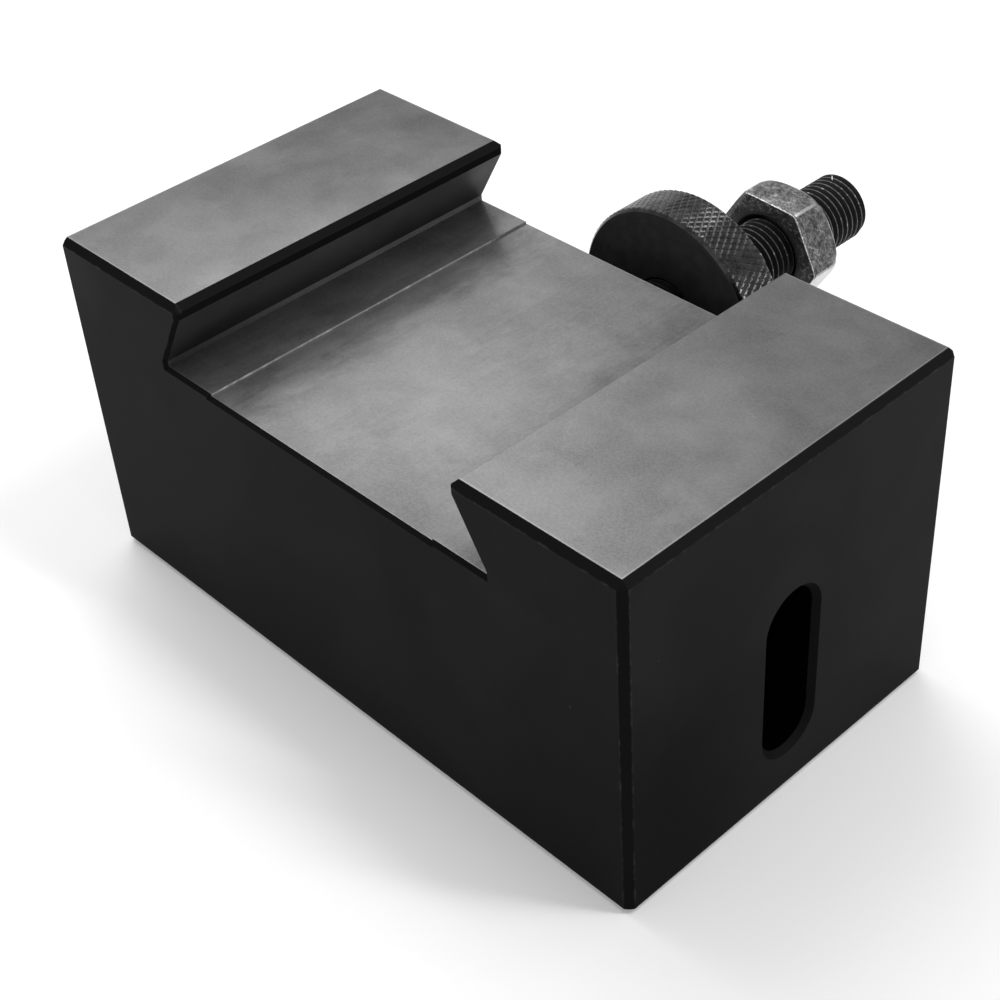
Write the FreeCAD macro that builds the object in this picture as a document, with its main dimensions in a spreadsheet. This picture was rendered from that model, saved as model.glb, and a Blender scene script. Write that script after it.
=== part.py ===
import FreeCAD, Part
import math
import os

import Sketcher
from FreeCAD import Vector

# Driving dimensions in millimetres and degrees
sizes = {
    # Block: length along X, width along Y, height along Z
    "block_length": 100.0,
    "block_width": 55.3,
    "block_height": 50.8,
    "block_chamfer": 0.9,
    # Dovetail channel along Y, open at the top and wider below its lips
    "channel_opening": 49.1,
    "channel_depth": 10.9,
    "channel_angle": 60.0,
    "channel_chamfer": 0.5,
    "lip_height": 1.9,
    "root_flat": 0.8,
    "land_width": 8.9,
    "floor_relief": 0.3,
    # Morse taper socket along X, with its mouth in the left end face
    "socket_height": 19.3,
    "socket_diameter": 23.825,
    "socket_taper": 19.922,
    "socket_depth": 80.0,
    "socket_chamfer": 0.8,
    # Tang slot in the right end face, which runs a little past the socket's inner end
    "tang_slot_width": 8.2,
    "tang_slot_height": 24.8,
    "tang_slot_overlap": 2.0,
    "tang_slot_chamfer": 0.75,
    # Adjusting stud along Y, screwed into a blind hole in the back face
    "stud_height": 30.7,
    "stud_diameter": 10.0,
    "stud_reach": 44.0,
    "stud_engagement": 15.0,
    "stud_chamfer": 0.4,
    "stud_hole_spare": 0.5,
    "stud_hole_point": 118.0,
    "thread_clearance": 0.05,
    "thread_countersink": 0.4,
    # Knurled nut, set off from the block's back face
    "knurled_nut_gap": 5.6,
    "knurled_nut_diameter": 30.5,
    "knurled_nut_thickness": 7.0,
    "knurled_nut_chamfer": 0.6,
    # Hexagonal lock nut, set off from the knurled nut
    "lock_nut_gap": 13.8,
    "lock_nut_flats": 16.0,
    "lock_nut_thickness": 6.1,
    "lock_nut_face": 15.2,
    "lock_nut_bevel": 30.0,
    "lock_nut_countersink": 0.7,
    "lock_nut_turn": -3.25,
}

doc = FreeCAD.newDocument("morse_taper_holder")
sheet = doc.addObject("Spreadsheet::Sheet", "sizes")
for row, (alias, size) in enumerate(sizes.items(), start=1):
    sheet.set("A%d" % row, alias)
    sheet.set("B%d" % row, str(size))
    sheet.setAlias("B%d" % row, alias)
doc.recompute()


def value(expression):
    return float(sheet.evalExpression(expression))


# Sketches stand on an origin plane of their own body, moved by sizes from the sheet
def addSketch(body, name, role, across="0", up="0", out="0"):
    sketch = body.newObject("Sketcher::SketchObject", name)
    origin = [item for item in body.Origin.OriginFeatures if item.Role == role]
    sketch.AttachmentSupport = [(origin[0], "")]
    sketch.MapMode = "FlatFace"
    for axis, expression in (("x", across), ("y", up), ("z", out)):
        sketch.setExpression(".AttachmentOffset.Base." + axis, expression)
    return sketch


# A closed outline whose corners are all dimensioned from the sketch's origin
def drawOutline(sketch, corners):
    points = [Vector(value(across), value(up), 0) for across, up in corners]
    first = sketch.GeometryCount
    count = len(corners)
    for index, point in enumerate(points):
        sketch.addGeometry(Part.LineSegment(point, points[(index + 1) % count]), False)
    for index, (across, up) in enumerate(corners):
        line = first + index
        following = first + (index + 1) % count
        sketch.addConstraint(Sketcher.Constraint("Coincident", line, 2, following, 1))
        for kind, expression in (("DistanceX", across), ("DistanceY", up)):
            dimension = Sketcher.Constraint(kind, -1, 1, line, 1, value(expression))
            number = sketch.addConstraint(dimension)
            sketch.setExpression("Constraints[%d]" % number, expression)


# An upright slot outline, centred on the sketch's origin
def drawSlot(sketch, width, height):
    radius = value(width) / 2
    rise = value(height) / 2 - radius
    upper = Part.Circle(Vector(0, rise, 0), Vector(0, 0, 1), radius)
    lower = Part.Circle(Vector(0, -rise, 0), Vector(0, 0, 1), radius)
    sketch.addGeometry(Part.ArcOfCircle(upper, 0, math.pi), False)
    sketch.addGeometry(Part.LineSegment(Vector(-radius, rise, 0), Vector(-radius, -rise, 0)), False)
    sketch.addGeometry(Part.ArcOfCircle(lower, math.pi, 2 * math.pi), False)
    sketch.addGeometry(Part.LineSegment(Vector(radius, -rise, 0), Vector(radius, rise, 0)), False)
    for piece in range(4):
        sketch.addConstraint(Sketcher.Constraint("Tangent", piece, 2, (piece + 1) % 4, 1))
    sketch.addConstraint(Sketcher.Constraint("Equal", 0, 2))
    sketch.addConstraint(Sketcher.Constraint("PointOnObject", 0, 3, -2))
    sketch.addConstraint(Sketcher.Constraint("Symmetric", 0, 3, 2, 3, -1, 1))
    roundness = sketch.addConstraint(Sketcher.Constraint("Radius", 0, radius))
    sketch.setExpression("Constraints[%d]" % roundness, width + " / 2")
    spacing = sketch.addConstraint(Sketcher.Constraint("DistanceY", 2, 3, 0, 3, 2 * rise))
    sketch.setExpression("Constraints[%d]" % spacing, height + " - " + width)


# Each feature has to add or remove material, whichever its kind does
def finishFeature(body, feature, before, adds):
    doc.recompute()
    body.Tip = feature
    change = feature.Shape.Volume - before
    if change == 0 or (change > 0) != adds:
        raise RuntimeError("%s doesn't change its body as it should" % feature.Name)


def addFeature(body, kind, name, sketch, **settings):
    before = body.Shape.Volume if body.Tip else 0
    feature = body.newObject("PartDesign::" + kind, name)
    feature.Profile = sketch
    for setting, content in settings.items():
        if str(content).startswith("sizes."):
            feature.setExpression(setting, content)
        else:
            setattr(feature, setting, content)
    finishFeature(body, feature, before, kind in ("Pad", "Revolution"))


def addTurned(body, kind, name, sketch):
    addFeature(body, kind, name, sketch, ReferenceAxis=(sketch, ["H_Axis"]), Angle=360)


def addChamfers(body, name, size, chosen):
    base = body.Tip
    names = ["Edge%d" % (index + 1) for index, edge in enumerate(base.Shape.Edges) if chosen(edge)]
    feature = body.newObject("PartDesign::Chamfer", name)
    feature.Base = (base, names)
    feature.setExpression("Size", size)
    finishFeature(body, feature, base.Shape.Volume, False)


def same(first, second):
    return abs(first - second) < 1e-4


# Places that more than one piece is built from
blockTop = "sizes.block_height"
blockEnd = "sizes.block_length / 2"
blockBack = "sizes.block_width / 2"
channelLand = "sizes.block_height - sizes.channel_depth"
channelLip = "sizes.channel_opening / 2"
channelUndercut = "(sizes.channel_depth - sizes.lip_height - sizes.root_flat) / tan(sizes.channel_angle)"
channelRoot = channelLip + " + " + channelUndercut
studRadius = "sizes.stud_diameter / 2"
threadRadius = studRadius + " + sizes.thread_clearance"
knurledNutFront = "sizes.knurled_nut_gap"
knurledNutBack = knurledNutFront + " + sizes.knurled_nut_thickness"
lockNutFront = knurledNutBack + " + sizes.lock_nut_gap"
lockNutBack = lockNutFront + " + sizes.lock_nut_thickness"


# The stud's axis runs along Y, and its sketches measure from the block's back face
def addStudSketch(body, name):
    return addSketch(body, name, "YZ_Plane", across=blockBack, up="sizes.stud_height")


# The block: chamfered blank, dovetail channel, taper socket, tang slot and stud hole
def makeHolderBody():
    body = doc.addObject("PartDesign::Body", "holder_body")
    addBlank(body)
    addChannel(body)
    addSocket(body)
    addTangSlot(body)
    addStudHole(body)
    return body


def addBlank(body):
    outline = addSketch(body, "blank_outline", "XZ_Plane")
    left = "-" + blockEnd
    drawOutline(outline, [(left, "0"), (blockEnd, "0"), (blockEnd, blockTop), (left, blockTop)])
    addFeature(body, "Pad", "blank", outline, Length="sizes.block_width", SideType="Symmetric")
    addChamfers(body, "blank_chamfers", "sizes.block_chamfer", lambda edge: True)


def addChannel(body):
    # From the lip, down the undercut and the root's flat, along the land and into the relief
    landEdge = channelRoot + " - sizes.land_width"
    right = [
        (channelLip, blockTop),
        (channelLip, blockTop + " - sizes.lip_height"),
        (channelRoot, channelLand + " + sizes.root_flat"),
        (channelRoot, channelLand),
        (landEdge, channelLand),
        (landEdge, channelLand + " - sizes.floor_relief"),
    ]
    left = [("-(%s)" % across, up) for across, up in reversed(right)]
    outline = addSketch(body, "channel_outline", "XZ_Plane")
    drawOutline(outline, right + left)
    addFeature(body, "Pocket", "channel", outline, Type="ThroughAll", SideType="Symmetric")

    def isLip(edge):
        middle = edge.CenterOfMass
        return same(abs(middle.x), value(channelLip)) and same(middle.z, value(blockTop))

    def isChannelEnd(edge):
        middle = edge.CenterOfMass
        within = abs(middle.x) < value(channelRoot) + 1e-4
        return same(abs(middle.y), value(blockBack)) and within and middle.z > value(blockTop) / 2

    addChamfers(body, "lip_chamfers", "sizes.block_chamfer", isLip)
    addChamfers(body, "channel_chamfers", "sizes.channel_chamfer", isChannelEnd)


def addSocket(body):
    # The radius shrinks by half of 1 in socket_taper from the mouth inwards
    def radiusAt(depth):
        return "sizes.socket_diameter / 2 - %s / (2 * sizes.socket_taper)" % depth

    outline = addSketch(body, "socket_outline", "XZ_Plane", across="-" + blockEnd, up="sizes.socket_height")
    corners = [
        ("0", "0"),
        ("0", radiusAt("0") + " + sizes.socket_chamfer"),
        ("sizes.socket_chamfer", radiusAt("sizes.socket_chamfer")),
        ("sizes.socket_depth", radiusAt("sizes.socket_depth")),
        ("sizes.socket_depth", "0"),
    ]
    drawOutline(outline, corners)
    addTurned(body, "Groove", "socket", outline)


def addTangSlot(body):
    outline = addSketch(body, "tang_slot_outline", "YZ_Plane", up="sizes.socket_height", out=blockEnd)
    drawSlot(outline, "sizes.tang_slot_width", "sizes.tang_slot_height")
    depth = "sizes.block_length - sizes.socket_depth + sizes.tang_slot_overlap"
    addFeature(body, "Pocket", "tang_slot", outline, Length=depth)

    def isSlotMouth(edge):
        middle = edge.CenterOfMass
        withinWidth = abs(middle.y) < value("sizes.tang_slot_width") / 2 + 1e-4
        withinHeight = abs(middle.z - value("sizes.socket_height")) < value("sizes.tang_slot_height") / 2
        return same(middle.x, value(blockEnd)) and withinWidth and withinHeight

    addChamfers(body, "tang_slot_chamfers", "sizes.tang_slot_chamfer", isSlotMouth)


def addStudHole(body):
    depth = "-(sizes.stud_engagement + sizes.stud_hole_spare)"
    point = " - (%s) / tan(sizes.stud_hole_point / 2)" % threadRadius
    outline = addStudSketch(body, "stud_hole_outline")
    corners = [
        ("0", "0"),
        ("0", threadRadius + " + sizes.thread_countersink"),
        ("-sizes.thread_countersink", threadRadius),
        (depth, threadRadius),
        (depth + point, "0"),
    ]
    drawOutline(outline, corners)
    addTurned(body, "Groove", "stud_hole", outline)


def makeAdjustingStud():
    body = doc.addObject("PartDesign::Body", "adjusting_stud")
    inner = "-sizes.stud_engagement"
    outline = addStudSketch(body, "stud_outline")
    corners = [
        (inner, "0"),
        (inner, studRadius + " - sizes.stud_chamfer"),
        (inner + " + sizes.stud_chamfer", studRadius),
        ("sizes.stud_reach - sizes.stud_chamfer", studRadius),
        ("sizes.stud_reach", studRadius + " - sizes.stud_chamfer"),
        ("sizes.stud_reach", "0"),
    ]
    drawOutline(outline, corners)
    addTurned(body, "Revolution", "stud", outline)
    return body


def makeKnurledNut():
    body = doc.addObject("PartDesign::Body", "knurled_nut")
    rim = "sizes.knurled_nut_diameter / 2"
    outline = addStudSketch(body, "nut_outline")
    corners = [
        (knurledNutFront, threadRadius + " + sizes.thread_countersink"),
        (knurledNutFront, rim + " - sizes.knurled_nut_chamfer"),
        (knurledNutFront + " + sizes.knurled_nut_chamfer", rim),
        (knurledNutBack + " - sizes.knurled_nut_chamfer", rim),
        (knurledNutBack, rim + " - sizes.knurled_nut_chamfer"),
        (knurledNutBack, threadRadius + " + sizes.thread_countersink"),
        (knurledNutBack + " - sizes.thread_countersink", threadRadius),
        (knurledNutFront + " + sizes.thread_countersink", threadRadius),
    ]
    drawOutline(outline, corners)
    addTurned(body, "Revolution", "nut", outline)
    return body


def makeLockNut():
    body = doc.addObject("PartDesign::Body", "lock_nut")
    corner = "sizes.lock_nut_flats / sqrt(3)"
    turn = " * %s(%d + sizes.lock_nut_turn)"
    angles = range(0, 360, 60)
    hexagon = [(corner + turn % ("cos", angle), corner + turn % ("sin", angle)) for angle in angles]
    front = "-(%s + %s)" % (blockBack, lockNutFront)
    outline = addSketch(body, "hexagon_outline", "XZ_Plane", up="sizes.stud_height", out=front)
    drawOutline(outline, hexagon)
    addFeature(body, "Pad", "hexagon", outline, Length="sizes.lock_nut_thickness", Reversed=True)

    # The corners are turned off at both faces, which leaves a round face at each end
    face = "sizes.lock_nut_face / 2"
    bevel = " (%s - %s) * tan(sizes.lock_nut_bevel)" % (corner, face)
    bevels = addStudSketch(body, "bevel_outlines")
    drawOutline(bevels, [(lockNutFront, face), (lockNutFront + " +" + bevel, corner), (lockNutFront, corner)])
    drawOutline(bevels, [(lockNutBack, face), (lockNutBack + " -" + bevel, corner), (lockNutBack, corner)])
    addTurned(body, "Groove", "bevels", bevels)

    mouth = threadRadius + " + sizes.lock_nut_countersink"
    bore = addStudSketch(body, "bore_outline")
    corners = [
        (lockNutFront, "0"),
        (lockNutFront, mouth),
        (lockNutFront + " + sizes.lock_nut_countersink", threadRadius),
        (lockNutBack + " - sizes.lock_nut_countersink", threadRadius),
        (lockNutBack, mouth),
        (lockNutBack, "0"),
    ]
    drawOutline(bore, corners)
    addTurned(body, "Groove", "bore", bore)
    return body


pieces = [makeHolderBody(), makeAdjustingStud(), makeKnurledNut(), makeLockNut()]
doc.recompute()
for item in doc.Objects:
    if "Invalid" in item.State or "Error" in item.State:
        raise RuntimeError("%s failed" % item.Label)
for piece in pieces:
    if piece.Shape.isNull() or not piece.Shape.isValid() or len(piece.Shape.Solids) != 1:
        raise RuntimeError("%s isn't one valid solid" % piece.Label)

os.makedirs("parts", exist_ok=True)
for piece in pieces:
    piece.Shape.exportStep("parts/%s.step" % piece.Label)
    print("%s: %.1f mm3" % (piece.Label, piece.Shape.Volume))
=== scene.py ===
import math
import bmesh
import bpy
from mathutils import Matrix, Vector


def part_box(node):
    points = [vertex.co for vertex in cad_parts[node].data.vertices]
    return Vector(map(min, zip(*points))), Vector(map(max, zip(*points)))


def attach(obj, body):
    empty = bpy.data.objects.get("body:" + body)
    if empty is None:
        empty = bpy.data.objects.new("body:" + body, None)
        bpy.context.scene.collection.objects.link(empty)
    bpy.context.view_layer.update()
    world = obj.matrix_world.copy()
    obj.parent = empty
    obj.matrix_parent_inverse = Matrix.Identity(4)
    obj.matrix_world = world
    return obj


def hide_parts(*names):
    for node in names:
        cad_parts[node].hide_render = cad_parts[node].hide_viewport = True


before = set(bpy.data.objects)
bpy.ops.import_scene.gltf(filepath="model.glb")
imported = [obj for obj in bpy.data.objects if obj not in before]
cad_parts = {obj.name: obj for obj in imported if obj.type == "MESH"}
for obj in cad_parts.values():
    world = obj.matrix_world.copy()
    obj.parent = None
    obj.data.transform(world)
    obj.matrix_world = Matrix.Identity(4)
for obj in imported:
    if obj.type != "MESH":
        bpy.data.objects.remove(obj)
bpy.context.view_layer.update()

mm = 0.001
studRadius = 5.0    # mm, M10
print("frame loaded:", ", ".join(sorted(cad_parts)))


class Signal:
    # a node's output, so that arithmetic on it adds Math nodes
    def __init__(self, nodes, socket):
        self.nodes, self.socket = nodes, socket

    def maths(self, operation, *values):
        return self.nodes.add("ShaderNodeMath", {"operation": operation}, dict(enumerate(values)))

    def __add__(self, other):
        return self.maths("ADD", self, other)

    def __radd__(self, other):
        return self.maths("ADD", other, self)

    def __sub__(self, other):
        return self.maths("SUBTRACT", self, other)

    def __rsub__(self, other):
        return self.maths("SUBTRACT", other, self)

    def __mul__(self, other):
        return self.maths("MULTIPLY", self, other)

    def __rmul__(self, other):
        return self.maths("MULTIPLY", other, self)

    def __gt__(self, other):
        return self.maths("GREATER_THAN", self, other)

    def __lt__(self, other):
        return self.maths("LESS_THAN", self, other)

    def __abs__(self):
        return self.maths("ABSOLUTE", self)

    def largest(self, other):
        return self.maths("MAXIMUM", self, other)

    def smallest(self, other):
        return self.maths("MINIMUM", self, other)

    def across(self, other):
        # the distance from an axis, from two distances square to it
        return self.maths("SQRT", self * self + other * other)

    def between(self, start, end):
        soft = 0.02
        return self.ramp(start - soft, start) * self.ramp(end + soft, end)

    def ramp(self, start, end, low=0.0, high=1.0):
        # low before start, high after end, and a smooth rise between them
        settings = {"interpolation_type": "SMOOTHSTEP"}
        sockets = {"Value": self, "From Min": start, "From Max": end, "To Min": low, "To Max": high}
        return self.nodes.add("ShaderNodeMapRange", settings, sockets)


class Nodes:
    # adds nodes to one tree
    def __init__(self, tree):
        self.tree = tree
        tree.nodes.clear()

    def add(self, kind, settings=None, sockets=None, out=0):
        node = self.tree.nodes.new(kind)
        for name, setting in (settings or {}).items():
            setattr(node, name, setting)
        for name, given in (sockets or {}).items():
            if isinstance(given, Signal):
                self.tree.links.new(given.socket, node.inputs[name])
            else:
                node.inputs[name].default_value = given
        if isinstance(out, tuple):
            return [Signal(self, node.outputs[name]) for name in out]
        return Signal(self, node.outputs[out])

    def places(self):
        # the place on the piece, in millimetres: as one vector and as x, y and z
        spot = self.add("ShaderNodeTexCoord", out="Object")
        scaled = self.add("ShaderNodeVectorMath", {"operation": "SCALE"}, {0: spot, "Scale": 1000.0})
        return [scaled] + self.add("ShaderNodeSeparateXYZ", None, {0: scaled}, out=("X", "Y", "Z"))

    def facing(self):
        flat = self.add("ShaderNodeNewGeometry", out="True Normal")
        return self.add("ShaderNodeSeparateXYZ", None, {0: flat}, out=("X", "Y", "Z"))

    def distance(self, place, middle):
        ends = {0: place, 1: middle}
        return self.add("ShaderNodeVectorMath", {"operation": "DISTANCE"}, ends, out="Value")

    def stretched(self, place, scale, turned=(0.0, 0.0, 0.0)):
        return self.add("ShaderNodeMapping", None, {"Vector": place, "Rotation": turned, "Scale": scale})

    def noise(self, place, scale, detail, roughness=0.5, distortion=0.0):
        sockets = {"Vector": place, "Scale": scale, "Detail": detail}
        sockets.update({"Roughness": roughness, "Distortion": distortion})
        return self.add("ShaderNodeTexNoise", None, sockets)

    def rings(self, radius, scale):
        # uneven rings round an axis, as a lathe tool leaves them
        sockets = {"W": radius, "Scale": scale, "Detail": 3.0}
        return self.add("ShaderNodeTexNoise", {"noise_dimensions": "1D"}, sockets)

    def specks(self, place, spacing, size, share):
        # small dots, one in each of a share of the cells
        cells = {"Vector": place, "Scale": 1.0 / spacing}
        near, tint = self.add("ShaderNodeTexVoronoi", None, cells, out=("Distance", "Color"))
        chance = self.add("ShaderNodeSeparateColor", None, {0: tint})
        return near.ramp(size / spacing, 0.6 * size / spacing) * (chance < share)

    def blend(self, amount, first, second):
        # from first to second, two colours
        sockets = {0: amount, 6: first, 7: second}
        return self.add("ShaderNodeMix", {"data_type": "RGBA"}, sockets, out=2)

    def bump(self, height, distance, normal=None):
        # distance is how far the height's 1 stands out, in mm
        sockets = {"Height": height, "Distance": distance * mm}
        if normal:
            sockets["Normal"] = normal
        return self.add("ShaderNodeBump", None, sockets)

    def seen(self):
        # 1 for what the camera sees, also in a reflection or through something clear
        names = ("Is Camera Ray", "Is Glossy Ray", "Is Transmission Ray")
        camera, glossy, through = self.add("ShaderNodeLightPath", out=names)
        return camera.largest(glossy).largest(through)


def grey(level):
    return (level, level, level, 1.0)


def newFinish(name):
    material = bpy.data.materials.new(name)
    material.use_nodes = True
    return material, Nodes(material.node_tree)


def finishSurface(nodes, sockets):
    shader = nodes.add("ShaderNodeBsdfPrincipled", None, sockets)
    nodes.add("ShaderNodeOutputMaterial", None, {"Surface": shader}, out=())


def addObject(name, data):
    added = bpy.data.objects.new(name, data)
    bpy.context.scene.collection.objects.link(added)
    return added


def keepPiece(name, bm, node, body, material, sharpAngle):
    # turns the bmesh into a piece that stands for a CAD node and rides on its body
    bmesh.ops.remove_doubles(bm, verts=bm.verts[:], dist=1e-7)
    bmesh.ops.recalc_face_normals(bm, faces=bm.faces[:])
    mesh = bpy.data.meshes.new(name)
    bm.to_mesh(mesh)
    bm.free()
    mesh.polygons.foreach_set("use_smooth", [True] * len(mesh.polygons))
    mesh.set_sharp_from_angle(angle=math.radians(sharpAngle))
    mesh.materials.append(material)
    piece = addObject(name, mesh)
    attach(piece, body)
    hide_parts(node)
    print(name, "has", len(mesh.vertices), "vertices and", len(mesh.polygons), "faces")


def everything(bm):
    return bm.verts[:] + bm.edges[:] + bm.faces[:]


def only(kind, items):
    return [item for item in items if isinstance(item, kind)]


def copied(bm, items):
    # the vertices of a copy
    return only(bmesh.types.BMVert, bmesh.ops.duplicate(bm, geom=items)["geom"])


def cutAcross(bm, y, side=None):
    # a cut square to the stud's axis; side says which part goes
    bmesh.ops.bisect_plane(bm, geom=everything(bm), dist=1e-8, plane_co=(0, y, 0), plane_no=(0, 1, 0),
                           clear_outer=side == "beyond", clear_inner=side == "before")


def bevelEnds(bm, low, high, chamfer, parts):
    # cuts both ends to length, then draws them in to a chamfer
    cutAcross(bm, low.y, "before")
    cutAcross(bm, high.y, "beyond")
    for part in parts:
        cutAcross(bm, low.y + part * chamfer)
        cutAcross(bm, high.y - part * chamfer)
    height, radius = (low.z + high.z) / 2, (high.z - low.z) / 2
    for vert in bm.verts:
        out = Vector((vert.co.x, 0, vert.co.z - height))
        limit = radius - chamfer + min(high.y - vert.co.y, vert.co.y - low.y)
        if out.length > limit:
            out *= limit / out.length
            vert.co = Vector((out.x, vert.co.y, out.z + height))


def stepLoop(bm, loop, moveTo):
    # extrudes a loop of edges and moves each new vertex to where moveTo puts it
    made = bmesh.ops.extrude_edge_only(bm, edges=loop)["geom"]
    for vert in only(bmesh.types.BMVert, made):
        vert.co = moveTo(vert.co)
    return only(bmesh.types.BMEdge, made)


bodyLook = {
    "groundShade": 0.136,    # pads and channel floor
    "slopeShade": 0.13,      # dovetail slopes
    "rootShade": 0.135,      # the flats at their roots
    "stepHighlightShade": 0.75,       # painted highlight along the relief step's edge
    "sideShade": 0.0135,
    "edgeShade": 0.0118,     # chamfers
    "lipShade": 0.0078,      # the upright lips between the chamfers and the slopes, painted darker as shade
    "insideShade": 0.0006,   # painted shade inside the slot, socket and stud hole
    "wornShade": 0.02,       # thin lines where the blacking has worn through
    "dustShade": 0.08,
    "chamfer": 0.9,          # mm, as in the CAD
    "channelChamfer": 0.5,
    "cloudSize": 17.0,       # mm
    "grainPitch": 0.5,       # mm across the grinding lines
    "dustSpacing": 8.0,      # mm
    "dustSize": 0.13,
    "dustShare": 0.3,        # of the cells
    "channelHalf": 29.5,     # mm from the middle, just past the roots
    "reliefHalf": 22.0,      # between the relief step and the roots
    "lipHalf": 24.8,         # just past the lips
    "underFloor": 39.0,      # mm up, just under the channel's floor
    "rootTop": 40.8,         # where the slopes start
    "lipsAbove": 45.0,       # between the roots and the lips
    "lipFoot": 48.95,        # where the slopes end
    "sheenMiddle": (4.0, -9.0, 40.0),        # mm, on the channel's floor, the middle of the painted sheen
    # mm, the middle of the painted shade at the foot of the right front corner
    "darkCorner": (50.0, -26.0, 8.0),
    # mm, a lighter area at the upper corner of the -x front end
    "lighterCorner": (-50.0, -27.6, 48.0),
}


def makeBlackenedSteel():
    look = bodyLook
    material, nodes = newFinish("blackened_steel_finish")
    place, x, y, z = nodes.places()
    faceX, faceY, faceZ = nodes.facing()
    _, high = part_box("holder_body")
    ofX, ofY, ofZ = abs(faceX), abs(faceY), abs(faceZ)
    fromMiddle, left, right = abs(x), x < 0.0, x > 0.0

    # how far in from the block's outer planes, in mm, and from the nearest edge where two of them meet
    fromEnd, fromSide = high.x / mm - fromMiddle, high.y / mm - abs(y)
    fromTop = (high.z / mm - z).smallest(z)
    fromEdge = fromEnd.smallest(fromSide).largest(fromEnd.largest(fromSide).smallest(fromTop))

    # masks for the kinds of face
    aboveFloor = z > look["underFloor"]
    inChannel = (fromMiddle < look["channelHalf"]) * aboveFloor * (z < look["lipFoot"])
    onPads = 1 - inChannel
    upward = (faceZ > 0.9) * aboveFloor
    slope = (faceZ < -0.3) * (ofX > 0.8) * inChannel
    upright = (ofX > 0.9) * inChannel * (z < look["rootTop"])
    burr = upright * (fromMiddle < look["reliefHalf"])
    root = upright * (fromMiddle > look["reliefHalf"])
    ground = upward.largest(slope).largest(upright)
    channel, floor = ground * inChannel, upward * inChannel
    lip = (ofX > 0.9) * (fromMiddle < look["lipHalf"]) * (z > look["lipsAbove"])
    edge = (ofX.largest(ofY).largest(ofZ) < 0.8).largest(lip)
    inside = (fromEnd > 0.8) * (fromSide > 1.0) * (fromTop > 1.0) * (z < look["underFloor"])

    # patterns
    clouds = nodes.noise(place, 1.0 / look["cloudSize"], 2.5, 0.45, 0.6).ramp(0.3, 0.7)
    patches = nodes.noise(place, 0.11, 5.0, 0.6, 0.8).ramp(0.47, 0.58)
    blotches = nodes.noise(place, 0.25, 3.0, 0.5).ramp(0.35, 0.65)
    broken = nodes.noise(place, 0.5, 4.0, 0.7).ramp(0.45, 0.7)
    acrossGrain = 1.0 / look["grainPitch"]
    grain = nodes.noise(nodes.stretched(place, (acrossGrain, 0.03, acrossGrain)), 1.0, 2.0) - 0.5
    feather = nodes.noise(nodes.stretched(place, (0.32, 0.17, 0.32)), 1.0, 6.0, 0.65, 0.2)
    speckle = nodes.noise(place, 3.5, 2.0, 0.6) - 0.5
    dust = nodes.specks(place, look["dustSpacing"], look["dustSize"], look["dustShare"])

    # thin lines along the edges
    chamfer, narrow = look["chamfer"], look["channelChamfer"]
    edgeLine = fromEdge.between(chamfer - 0.06, chamfer + 0.2)
    endLine = fromSide.between(narrow, narrow + 0.1) * inChannel
    slopeLine = edge * inChannel * (ofX > 0.3) * (fromSide < 0.1)

    # painted sheen on the pads: lighter inner edges, and the left pad lighter in front and darker behind
    paintedPadGradient = y.ramp(-8.0, -26.0) * 0.16 - y.ramp(9.0, 27.0) * 0.28
    paintedPadSheen = fromMiddle.ramp(31.0, 26.0) * 0.12 + left * paintedPadGradient

    # and in the channel, painted light and shade: a painted sheen in the middle that dims towards the front
    # end, painted shade at the sides under the lips, and a ragged painted edge of the sheen beside the left
    # root
    middle = nodes.distance(place, look["sheenMiddle"]).ramp(21.0, 4.0) * 0.14
    middle = middle - y.ramp(-10.0, -27.0) * 0.09
    paintedShadeRight = x.ramp(7.0, 15.5) * y.ramp(-27.0, 22.0, 0.12, 0.3)
    paintedRootShade = fromMiddle.ramp(21.0, 28.5) * (0.44 + right * 0.08)
    streaks = (feather.ramp(0.4, 0.6) - 0.5) * 0.26 + 0.1
    paintedSheenEdge = left * fromMiddle.ramp(9.0, 15.0) * fromMiddle.ramp(28.0, 21.0) * streaks
    paintedLightAndShade = floor * (middle + paintedSheenEdge - paintedShadeRight.largest(paintedRootShade)) + onPads * paintedPadSheen

    # ground faces
    lively = 0.82 + clouds * 0.22 + patches * 0.08 + blotches * 0.08 + speckle * 0.6
    lively = lively + channel * (0.155 + grain * 0.2) + paintedLightAndShade + edgeLine.largest(endLine) * 0.35
    # painted shade: the slopes darker down towards their roots
    paintedSlopeShade = z.ramp(look["rootTop"], 47.0, 0.66, 1.05)
    polished = look["groundShade"] + slope * (paintedSlopeShade * look["slopeShade"] - look["groundShade"])
    polished = polished + root * (look["rootShade"] - look["groundShade"])
    polished = polished * (1 - y.ramp(6.0, -27.0) * (slope * 0.46 + root * 0.62))

    # blackened faces, with painted light and shade: darker towards the bottom and at the foot of the right
    # front corner, lighter towards the far end of the right face, and lighter at the upper corner of the -x
    # front end
    paintedFootShade = nodes.distance(place, look["darkCorner"]).ramp(30.0, 6.0) * (0.55 + ofX * 0.45)
    lighterZone = nodes.distance(place, look["lighterCorner"]).ramp(12.0, 2.0)
    paintedHeightLight = z.ramp(0.0, 16.0, 0.85, 1.0) + z.ramp(24.0, 48.0) * 0.18
    paintedFarLight = (faceX > 0.5) * y.ramp(0.0, 27.0) * 0.16
    side = look["sideShade"] * (0.84 + clouds * 0.32) * (paintedHeightLight + paintedFarLight + lighterZone * 0.7)
    side = side * (1 - paintedFootShade * 0.6)

    # one kind of face over another
    shade = side + ground * (polished * lively - side)
    # painted highlight along the relief step, fading towards the far end
    stepHighlightShade = look["stepHighlightShade"] * (0.55 + broken * 0.45) * y.ramp(17.0, 23.0, 1.0, 0.5)
    shade = shade + burr * (stepHighlightShade - shade)
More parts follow.
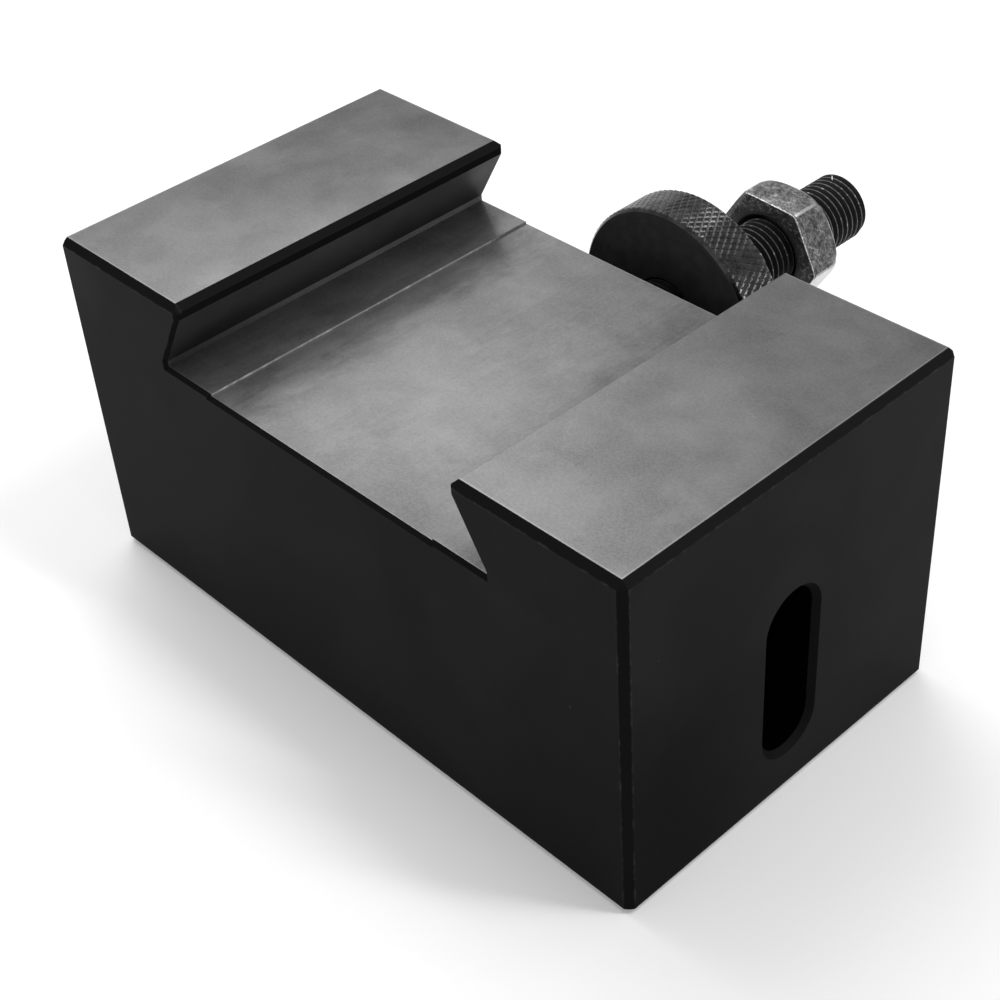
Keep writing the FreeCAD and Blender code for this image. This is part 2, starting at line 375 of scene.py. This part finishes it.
    # painted shade: chamfers that face the front or back, and the upright lips, darker than the other
    # chamfers
    edgeShade = look["edgeShade"] * (1 - ofY * 0.4)
    shade = shade + edge * (edgeShade + lip * (look["lipShade"] - edgeShade) - shade)
    # painted shade inside the hollows
    shade = shade + inside * (look["insideShade"] - shade)
    shade = shade + edgeLine.largest(slopeLine) * (1 - ground) * broken * look["wornShade"]
    shade = shade + dust * look["dustShade"]

    satin = 0.4 - ground * 0.1 + channel * (0.045 + grain * 0.05) + (edge + inside).smallest(1.0) * 0.45
    satin = satin + (clouds - 0.5) * 0.05
    waves = nodes.noise(nodes.stretched(place, (1.0, 0.5, 1.0)), 0.25, 3.0) * (0.4 + channel * 0.6)
    ripples = nodes.noise(place, 0.8, 3.0, 0.6)
    fine = speckle + channel * (grain * 0.6 + ripples * 5.0)
    finishSurface(nodes, {
        "Base Color": nodes.blend(shade, grey(0.0), grey(1.0)),
        "Metallic": ground * (0.65 - channel * 0.04 - burr.largest(root) * 0.4),
        "Roughness": satin,
        "Specular IOR Level": 0.012,
        "Specular Tint": grey(0.3),     # keeps the ground faces from lightening at a low angle
        "Normal": nodes.bump(fine, 0.002, normal=nodes.bump(waves, 0.07)),
    })
    return material


blackenedSteel = makeBlackenedSteel()
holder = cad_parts["holder_body"]
for spot in holder.material_slots:
    spot.material = blackenedSteel
print("holder body finished")


studPlan = {
    "pitch": 1.1,            # mm from crest to crest
    "depth": 0.62,
    "crestShare": 0.13,      # of the pitch
    "rootShare": 0.2,
    "stepsPerTurn": 48,
    "endChamfer": 0.9,
    "sharpAngle": 32,        # degrees
    "flankShade": 0.005,
    "crestShade": 0.08,
    "nickShade": 0.36,
    "brightMarkShade": 0.8,
    "gapShadeTo": 33.0,          # mm along y, painted shade on the stud between the block and the knurled nut
    "gapShadeEnd": 36.0,
    "brightMarkAt": 70.0,       # mm along y, a short bright mark on the last threads
}


def makeStudFinish():
    plan = studPlan
    material, nodes = newFinish("stud_steel_finish")
    place, x, y, z = nodes.places()
    low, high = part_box("adjusting_stud")
    up = z - (low.z + high.z) / 2 / mm
    radius = x.across(up)
    patches = nodes.noise(place, 1.1, 3.0, 0.6).ramp(0.35, 0.65)
    fine = nodes.noise(place, 5.0, 3.0, 0.6)
    nicks = nodes.noise(place, 1.6, 2.0, 0.5).ramp(0.6, 0.68)
    # painted shade on the stud between the block and the knurled nut
    paintedGapShade = y.ramp(plan["gapShadeTo"], plan["gapShadeEnd"], 0.15, 1.0)
    crest = radius.ramp(studRadius - 0.12, studRadius) * (0.35 + patches * 0.65) * paintedGapShade
    # painted light: the threads past 59 mm along y lighter than those in the nut's shade
    shade = (plan["flankShade"] + fine * 0.006 + y.ramp(59.0, 61.0) * 0.006) * paintedGapShade
    shade = shade + crest * (plan["crestShade"] + fine * 0.09 + nicks * plan["nickShade"])
    along = y - plan["brightMarkAt"]
    brightMark = (abs(x + 0.87 + along * 0.78) < 0.12) * (abs(along) < 0.55) * (up > 4.0)
    shade = shade + brightMark * plan["brightMarkShade"]
    finishSurface(nodes, {
        "Base Color": nodes.blend(shade, grey(0.0), grey(1.0)),
        "Metallic": crest * 0.9,
        "Roughness": 0.36 + fine * 0.16,
        "Specular IOR Level": 0.15,
        "Normal": nodes.bump(fine, 0.01),
    })
    return material


def makeAdjustingStud():
    plan = studPlan
    low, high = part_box("adjusting_stud")
    height, radius = (low.z + high.z) / 2, (high.x - low.x) / 2
    pitch, depth, steps = plan["pitch"] * mm, plan["depth"] * mm, plan["stepsPerTurn"]
    crest = plan["crestShare"]
    flank = (1 - crest - plan["rootShare"]) / 2
    profile = [(0, 0), (crest, 0), (crest + flank, depth), (1 - flank, depth), (1, 0)]

    # one turn of the thread, then copies of it along the stud
    bm = bmesh.new()
    start = low.y - pitch
    outline = [bm.verts.new((radius - drop, start + share * pitch, height)) for share, drop in profile]
    edges = [bm.edges.new(pair) for pair in zip(outline, outline[1:])]
    bmesh.ops.spin(bm, geom=outline + edges, cent=(0, 0, height), axis=(0, 1, 0), angle=2 * math.pi,
                   dvec=(0, pitch / steps, 0), steps=steps, use_merge=False, use_duplicate=False)
    oneTurn = everything(bm)
    for turn in range(1, math.ceil((high.y - low.y) / pitch) + 3):
        bmesh.ops.translate(bm, vec=(0, turn * pitch, 0), verts=copied(bm, oneTurn))
    bmesh.ops.remove_doubles(bm, verts=bm.verts[:], dist=2e-6)

    bevelEnds(bm, low, high, plan["endChamfer"] * mm, (0.33, 0.67, 1.0))
    bmesh.ops.holes_fill(bm, edges=[edge for edge in bm.edges if edge.is_boundary], sides=0)
    keepPiece("threaded_stud", bm, "adjusting_stud", "holder",
              makeStudFinish(), plan["sharpAngle"])


makeAdjustingStud()


nutPlan = {
    "diamonds": 92,          # round the rim
    "rowPitch": 1.667,       # mm between diamonds in line along the axis
    "grooveDepth": 0.11,
    "topShare": 0.5,
    "rimChamfer": 0.45,
    "boreClearance": 0.05,
    "countersink": 0.25,
    "sharpAngle": 25,        # degrees
    "faceShade": 0.027,
}


def makeKnurledFinish():
    material, nodes = newFinish("knurled_steel_finish")
    place, x, _, z = nodes.places()
    low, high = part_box("knurled_nut")
    up = z - (low.z + high.z) / 2 / mm
    rim = (high.z - low.z) / 2 / mm
    radius = x.across(up)
    patches = nodes.noise(place, 0.5, 3.0, 0.55).ramp(0.35, 0.65)
    fine = nodes.noise(place, 4.0, 3.0, 0.6)
    turning = nodes.rings(radius, 4.0)
    onRim = radius.ramp(rim - 0.5, rim - 0.35)
    edge = radius.ramp(rim - 0.6, rim - 0.5)
    face = nutPlan["faceShade"] + patches * 0.01 + turning * 0.012
    # painted shade: the face darker towards the bore
    shade = face * radius.ramp(6.0, 12.0, 0.7, 1.1) + edge * 0.004
    shade = shade + onRim * (patches * 0.012 + (fine - 0.5) * 0.04 - 0.018)
    # painted shade in the bore and its countersink
    shade = shade * radius.ramp(5.1, 5.5, 0.3, 1.0)
    finishSurface(nodes, {
        "Base Color": nodes.blend(shade, grey(0.0), grey(1.0)),
        "Metallic": onRim * 0.95,
        "Roughness": 0.42 + fine * 0.12 - onRim * 0.27,
        "Specular IOR Level": 0.15,
        "Normal": nodes.bump(turning * (1 - onRim) * 1.5 + fine * (0.5 + onRim * 1.0), 0.008),
    })
    return material


def makeKnurledNut():
    plan = nutPlan
    low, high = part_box("knurled_nut")
    height, radius = (low.z + high.z) / 2, (high.z - low.z) / 2
    middle = (low.y + high.y) / 2
    turn = 2 * math.pi / plan["diamonds"]
    across = turn * radius
    along, depth = plan["rowPitch"] * mm, plan["grooveDepth"] * mm

    # one diamond, flat, then raised and wrapped onto the rim
    bm = bmesh.new()
    bmesh.ops.create_circle(bm, cap_ends=True, radius=1.0, segments=4)
    bmesh.ops.scale(bm, vec=(across / 2, along / 2, 1), verts=bm.verts[:])
    inward = (1 - plan["topShare"]) * across * along / 4 / math.hypot(across / 2, along / 2)
    bmesh.ops.inset_individual(bm, faces=bm.faces[:], thickness=inward, depth=0.0, use_even_offset=True)
    corners = [vert for vert in bm.verts if len(vert.link_faces) == 2]
    for vert in bm.verts:
        out = radius - (depth if vert in corners else 0.0)
        angle = vert.co.x / radius
        vert.co = Vector((out * math.cos(angle), middle + vert.co.y, height + out * math.sin(angle)))

    # then all round the rim, and rows of rings along it
    bmesh.ops.spin(bm, geom=everything(bm), cent=(0, 0, height), axis=(0, 1, 0), angle=2 * math.pi - turn,
                   steps=plan["diamonds"] - 1, use_duplicate=True)
    ring = everything(bm)
    rows = math.ceil((high.y - low.y) / along) + 1
    for row in range(-rows, rows + 1):
        if row == 0:
            continue
        verts = copied(bm, ring)
        swing = Matrix.Rotation(turn / 2 * (row % 2), 3, "Y")
        bmesh.ops.rotate(bm, cent=(0, 0, height), matrix=swing, verts=verts)
        bmesh.ops.translate(bm, vec=(0, row * along / 2, 0), verts=verts)
    bmesh.ops.remove_doubles(bm, verts=bm.verts[:], dist=2e-6)

    bevelEnds(bm, low, high, plan["rimChamfer"] * mm, (0.35, 0.7, 1.0))
    bmesh.ops.remove_doubles(bm, verts=bm.verts[:], dist=1e-6)

    def roundTo(reach, y):
        def moveTo(place):
            out = Vector((place.x, 0, place.z - height)).normalized() * reach
            return Vector((out.x, y, out.z + height))
        return moveTo

    # both faces, and the bore between them
    bore, sink = (studRadius + plan["boreClearance"]) * mm, plan["countersink"] * mm
    rims = [edge for edge in bm.edges if edge.is_boundary]
    ends = []
    for y, sunk in ((low.y, low.y + sink), (high.y, high.y - sink)):
        loop = [edge for edge in rims if all(abs(vert.co.y - y) < 1e-6 for vert in edge.verts)]
        loop = stepLoop(bm, loop, roundTo(bore + sink, y))
        ends += stepLoop(bm, loop, roundTo(bore, sunk))
    bmesh.ops.bridge_loops(bm, edges=ends)
    keepPiece("knurled_adjusting_nut", bm, "knurled_nut", "knurled_nut",
              makeKnurledFinish(), plan["sharpAngle"])


makeKnurledNut()


lockPlan = {
    "flats": 16.0,           # mm across flats
    "turn": -3.25,           # degrees
    "stepsPerFlat": 20,
    "frontFace": 8.7,        # mm, radius of the round face towards the knurled nut
    "backFace": 7.7,
    "bevel": 30.0,           # degrees
    "cornerRound": 0.55,
    "frontRound": 0.45,      # at the corners, and less along the flats
    "backRound": 1.8,
    "countersink": 0.7,
    "boreClearance": 0.05,
    "sharpAngle": 34,        # degrees
    # painted shade in the countersink and bore
    "sinkShade": 0.02,
    "frontShade": 0.012,
    "steelShade": 0.05,
    "wornShade": 0.34,       # worn edges and corners, painted bright as highlights
}


def makePlainSteel():
    plan = lockPlan
    material, nodes = newFinish("plain_steel_finish")
    place, x, y, z = nodes.places()
    _, faceY, faceZ = nodes.facing()
    low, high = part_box("lock_nut")
    front, back = low.y / mm, high.y / mm
    up = z - (low.z + high.z) / 2 / mm
    radius = x.across(up)
    mottle = nodes.noise(place, 0.6, 4.0, 0.65, 0.5).ramp(0.3, 0.7)
    worms = abs(nodes.noise(place, 1.0, 2.0, 0.55, 1.4) - 0.5).ramp(0.07, 0.015)
    pits = nodes.noise(place, 1.6, 3.0, 0.7, 0.8).ramp(0.4, 0.62)
    flecks = nodes.noise(place, 2.6, 3.0, 0.7).ramp(0.54, 0.64)
    fine = nodes.noise(place, 5.0, 2.0, 0.6) - 0.5
    turning = nodes.rings(radius, 3.0).ramp(0.35, 0.65)
    scratches = nodes.noise(nodes.stretched(place, (6.0, 0.4, 6.0), (0.6, 0.3, 0.4)), 1.0, 2.0, 0.6)

    isFront, flats = faceY < -0.9, abs(faceY) < 0.5
    paintedFloorReflection = (faceZ < -0.2) * flats
    outside, sink = radius > 7.8, radius < 5.8

    # worn edges and corners that widen towards the back, painted bright as highlights on the rounded edges
    nearest = None      # mm off the nearest line through two opposite corners
    for corner in range(3):
        swing = math.radians(plan["turn"] + 60 * corner)
        offLine = abs(x * math.sin(swing) - up * math.cos(swing))
        nearest = nearest.smallest(offLine) if nearest else offLine
    ridge = nearest.ramp(0.32, 0.12) * 0.6
    backCorner = nearest.ramp(1.5, 0.2) * y.ramp(back - 3.0, back - 0.8) * 0.4 * outside
    backEdge = y.ramp(back - 0.5, back - 0.3) * outside * 0.7
    frontEdge = y.ramp(front + 0.26, front + 0.14) * (1 - isFront) * (0.35 + pits * 0.65)
    wornAndHighlit = frontEdge.largest(backEdge.largest(ridge).largest(backCorner) * flats)

    shade = plan["steelShade"] + mottle * 0.08 + pits * (0.07 + mottle * 0.1) + fine * 0.14
    # painted reflection of the pale floor: the lower flats much lighter, with fine scratches
    shade = shade * (1 - worms * 0.45) + paintedFloorReflection * (0.3 + scratches * 0.4)
    # painted shade on the front face: darker towards the bore, next to the knurled nut
    outer = radius.ramp(5.6, 7.6)
    lighterZone = (x * -0.836 + up * 0.548).ramp(7.1, 7.5) * 0.2     # lighter along the upper edge on the -x side
    face = outer * (0.017 + mottle * 0.09 + flecks * 0.33 + lighterZone) + turning * 0.05 * (1.4 - outer)
    shade = shade + isFront * (plan["frontShade"] + face - shade)
    shade = shade + wornAndHighlit * (plan["wornShade"] + mottle * 0.2 + pits * 0.16 - shade)
    # painted shade in the countersink and bore
    shade = shade + sink * (plan["sinkShade"] - shade)
    finishSurface(nodes, {
        "Base Color": nodes.blend(shade, grey(0.0), grey(1.0)),
        "Metallic": 0.95 - isFront * 0.6,
        "Roughness": 0.36 + mottle * 0.12,
        "Normal": nodes.bump(mottle * 0.5 + pits * 0.4 + turning * isFront * 0.6, 0.02),
    })
    return material


def makeLockNut():
    plan = lockPlan
    low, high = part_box("lock_nut")
    height = (low.z + high.z) / 2
    flat, corner = plan["flats"] / 2 * mm, plan["cornerRound"] * mm
    turn, slant = math.radians(plan["turn"]), math.tan(math.radians(plan["bevel"]))
    bore, sink = (studRadius + plan["boreClearance"]) * mm, plan["countersink"] * mm
    sixth, twelfth = math.pi / 3, math.pi / 6
    cornerMiddle = (flat - corner) / math.cos(twelfth)
    cornerEnd = math.atan2(corner / 2, cornerMiddle + corner * math.cos(twelfth))

    def hexReach(part):
        # part is the angle from the nearest corner, and the corners are a little rounded
        if part > cornerEnd:
            return flat / math.cos(twelfth - part)
        return cornerMiddle * math.cos(part) + math.sqrt(corner ** 2 - (cornerMiddle * math.sin(part)) ** 2)

    def rimStation(reach, face, edge, end, inside, step):
        # one of six, from the flat face over the bevel and the rounded edge to a flat of the hexagon
        edge *= 0.15 + 0.85 * ((reach - flat) / (hexReach(0) - flat)) ** 2
        if step == 0:
            return flat - 1.0 * mm, end
        if step == 1:
            return min(face, reach - edge - 0.02 * mm), end
        swing = math.radians(30 * (step - 2))
        fall = max(0.0, reach - face) * slant
        lean = max(0.0, min(edge, reach - face)) * slant * math.cos(swing)
        drop = fall - lean + edge * (1 - math.cos(swing))
        return reach - edge + edge * math.sin(swing), end + inside * drop

    def hexTo(station):
        def moveTo(place):
            angle = math.atan2(place.z - height, place.x)
            part = (angle - turn) % sixth
            radius, y = station(hexReach(min(part, sixth - part)))
            return Vector((radius * math.cos(angle), y, height + radius * math.sin(angle)))
        return moveTo

    # a ring of edges is drawn out step by step, from the front bore over the flats to the back one
    bm = bmesh.new()
    upright = Matrix.Rotation(math.pi / 2, 4, "X")
    bmesh.ops.create_circle(bm, radius=bore, segments=plan["stepsPerFlat"] * 6, matrix=upright)
    bmesh.ops.translate(bm, vec=(0, 0, height), verts=bm.verts[:])
    for vert in bm.verts:
        # the steps are closer together near the corners
        share = math.atan2(vert.co.z - height, vert.co.x) / sixth
        whole = math.floor(share + 1e-6)
        eased = (1 + math.sin((share - whole - 0.5) * math.pi)) / 2
        angle = (whole + eased) * sixth + turn
        vert.co = Vector((bore * math.cos(angle), low.y + sink, height + bore * math.sin(angle)))

    front = (plan["frontFace"] * mm, plan["frontRound"] * mm, low.y, 1)
    back = (plan["backFace"] * mm, plan["backRound"] * mm, high.y, -1)
    stations = [lambda reach: (bore + sink, low.y)]
    stations += [lambda reach, step=step: rimStation(reach, *front, step) for step in range(6)]
    stations += [lambda reach, step=step: rimStation(reach, *back, step) for step in reversed(range(6))]
    stations += [lambda reach: (bore + sink, high.y), lambda reach: (bore, high.y - sink)]
    first = loop = bm.edges[:]
    for station in stations:
        loop = stepLoop(bm, loop, hexTo(station))
    bmesh.ops.bridge_loops(bm, edges=first + loop)
    keepPiece("hexagon_lock_nut", bm, "lock_nut", "lock_nut",
              makePlainSteel(), plan["sharpAngle"])


makeLockNut()


stagePlan = {
    "floorRadius": 1.1,      # m
    "clearFrom": 0.24,       # m, where the floor starts to fade into the backdrop
    "clearTo": 0.55,
    "floorShade": 0.88,
    "floorLift": 0.17,       # added where the camera sees the floor
    "worldLight": 0.5,
    "lens": 67.78,
    "cameraPlace": (0.1459, -0.12611, 0.17387),
    "cameraTurn": (50.9317, 3.2918, 46.2854),     # degrees
}

# width and height, brightness where 1 is white, place, and the point that the lamp faces
lampPlan = {
    "key_softbox": (0.62, 0.62, 2.9, (-0.43, 0.14, 0.636), (0, 0, 0.045)),
    "right_strip": (0.04, 0.23, 30.0, (0.232, 0.112, 0.472), (0, 0.037, 0.037)),
}


def makeFloor():
    plan = stagePlan
    material, nodes = newFinish("pale_floor_finish")
    place, x, y, _ = nodes.places()
    sheet = nodes.noise(place, 0.4, 2.0)
    shader = nodes.add("ShaderNodeBsdfPrincipled", None, {
        "Base Color": nodes.blend(plan["floorShade"] + sheet * 0.01, grey(0.0), grey(1.0)),
        "Roughness": 0.9,
        "Specular IOR Level": 0.0,
        "Emission Color": nodes.blend(nodes.seen() * plan["floorLift"], grey(0.0), grey(1.0)),
        "Emission Strength": 1.0,
    })
    clear = nodes.add("ShaderNodeBsdfTransparent")
    fade = x.across(y).ramp(plan["clearFrom"] / mm, plan["clearTo"] / mm)
    mixed = nodes.add("ShaderNodeMixShader", None, {0: fade, 1: shader, 2: clear})
    nodes.add("ShaderNodeOutputMaterial", None, {"Surface": mixed}, out=())

    bm = bmesh.new()
    bmesh.ops.create_circle(bm, cap_ends=True, radius=plan["floorRadius"], segments=96)
    mesh = bpy.data.meshes.new("pale_floor")
    bm.to_mesh(mesh)
    bm.free()
    mesh.materials.append(material)
    floor = addObject("pale_floor", mesh)


def makeWorld():
    world = bpy.data.worlds.new("white_studio")
    world.use_nodes = True
    nodes = Nodes(world.node_tree)
    light = stagePlan["worldLight"] + nodes.seen() * (1.0 - stagePlan["worldLight"])
    shader = nodes.add("ShaderNodeBackground", None, {"Color": grey(1.0), "Strength": light})
    nodes.add("ShaderNodeOutputWorld", None, {"Surface": shader}, out=())
    bpy.context.scene.world = world


def addLamp(name, width, height, strength, place, target):
    lamp = bpy.data.lights.new(name, "AREA")
    lamp.shape = "RECTANGLE"
    lamp.size, lamp.size_y = width, height
    lamp.energy = strength * math.pi * width * height
    lampObject = addObject(name, lamp)
    lampObject.location = place
    lampObject.rotation_euler = (Vector(target) - Vector(place)).to_track_quat("-Z", "Y").to_euler()
    lampObject.visible_camera = False


def makeCamera():
    camera = bpy.data.cameras.new("camera")
    camera.lens = stagePlan["lens"]
    camera.clip_start, camera.clip_end = 0.01, 10
    cameraObject = addObject("camera", camera)
    cameraObject.location = stagePlan["cameraPlace"]
    cameraObject.rotation_euler = [math.radians(turn) for turn in stagePlan["cameraTurn"]]
    bpy.context.scene.camera = cameraObject


makeFloor()
makeWorld()
for name, lamp in lampPlan.items():
    addLamp(name, *lamp)
makeCamera()
bpy.context.scene.view_settings.view_transform = "Standard"
print("stage, lamps and camera ready")
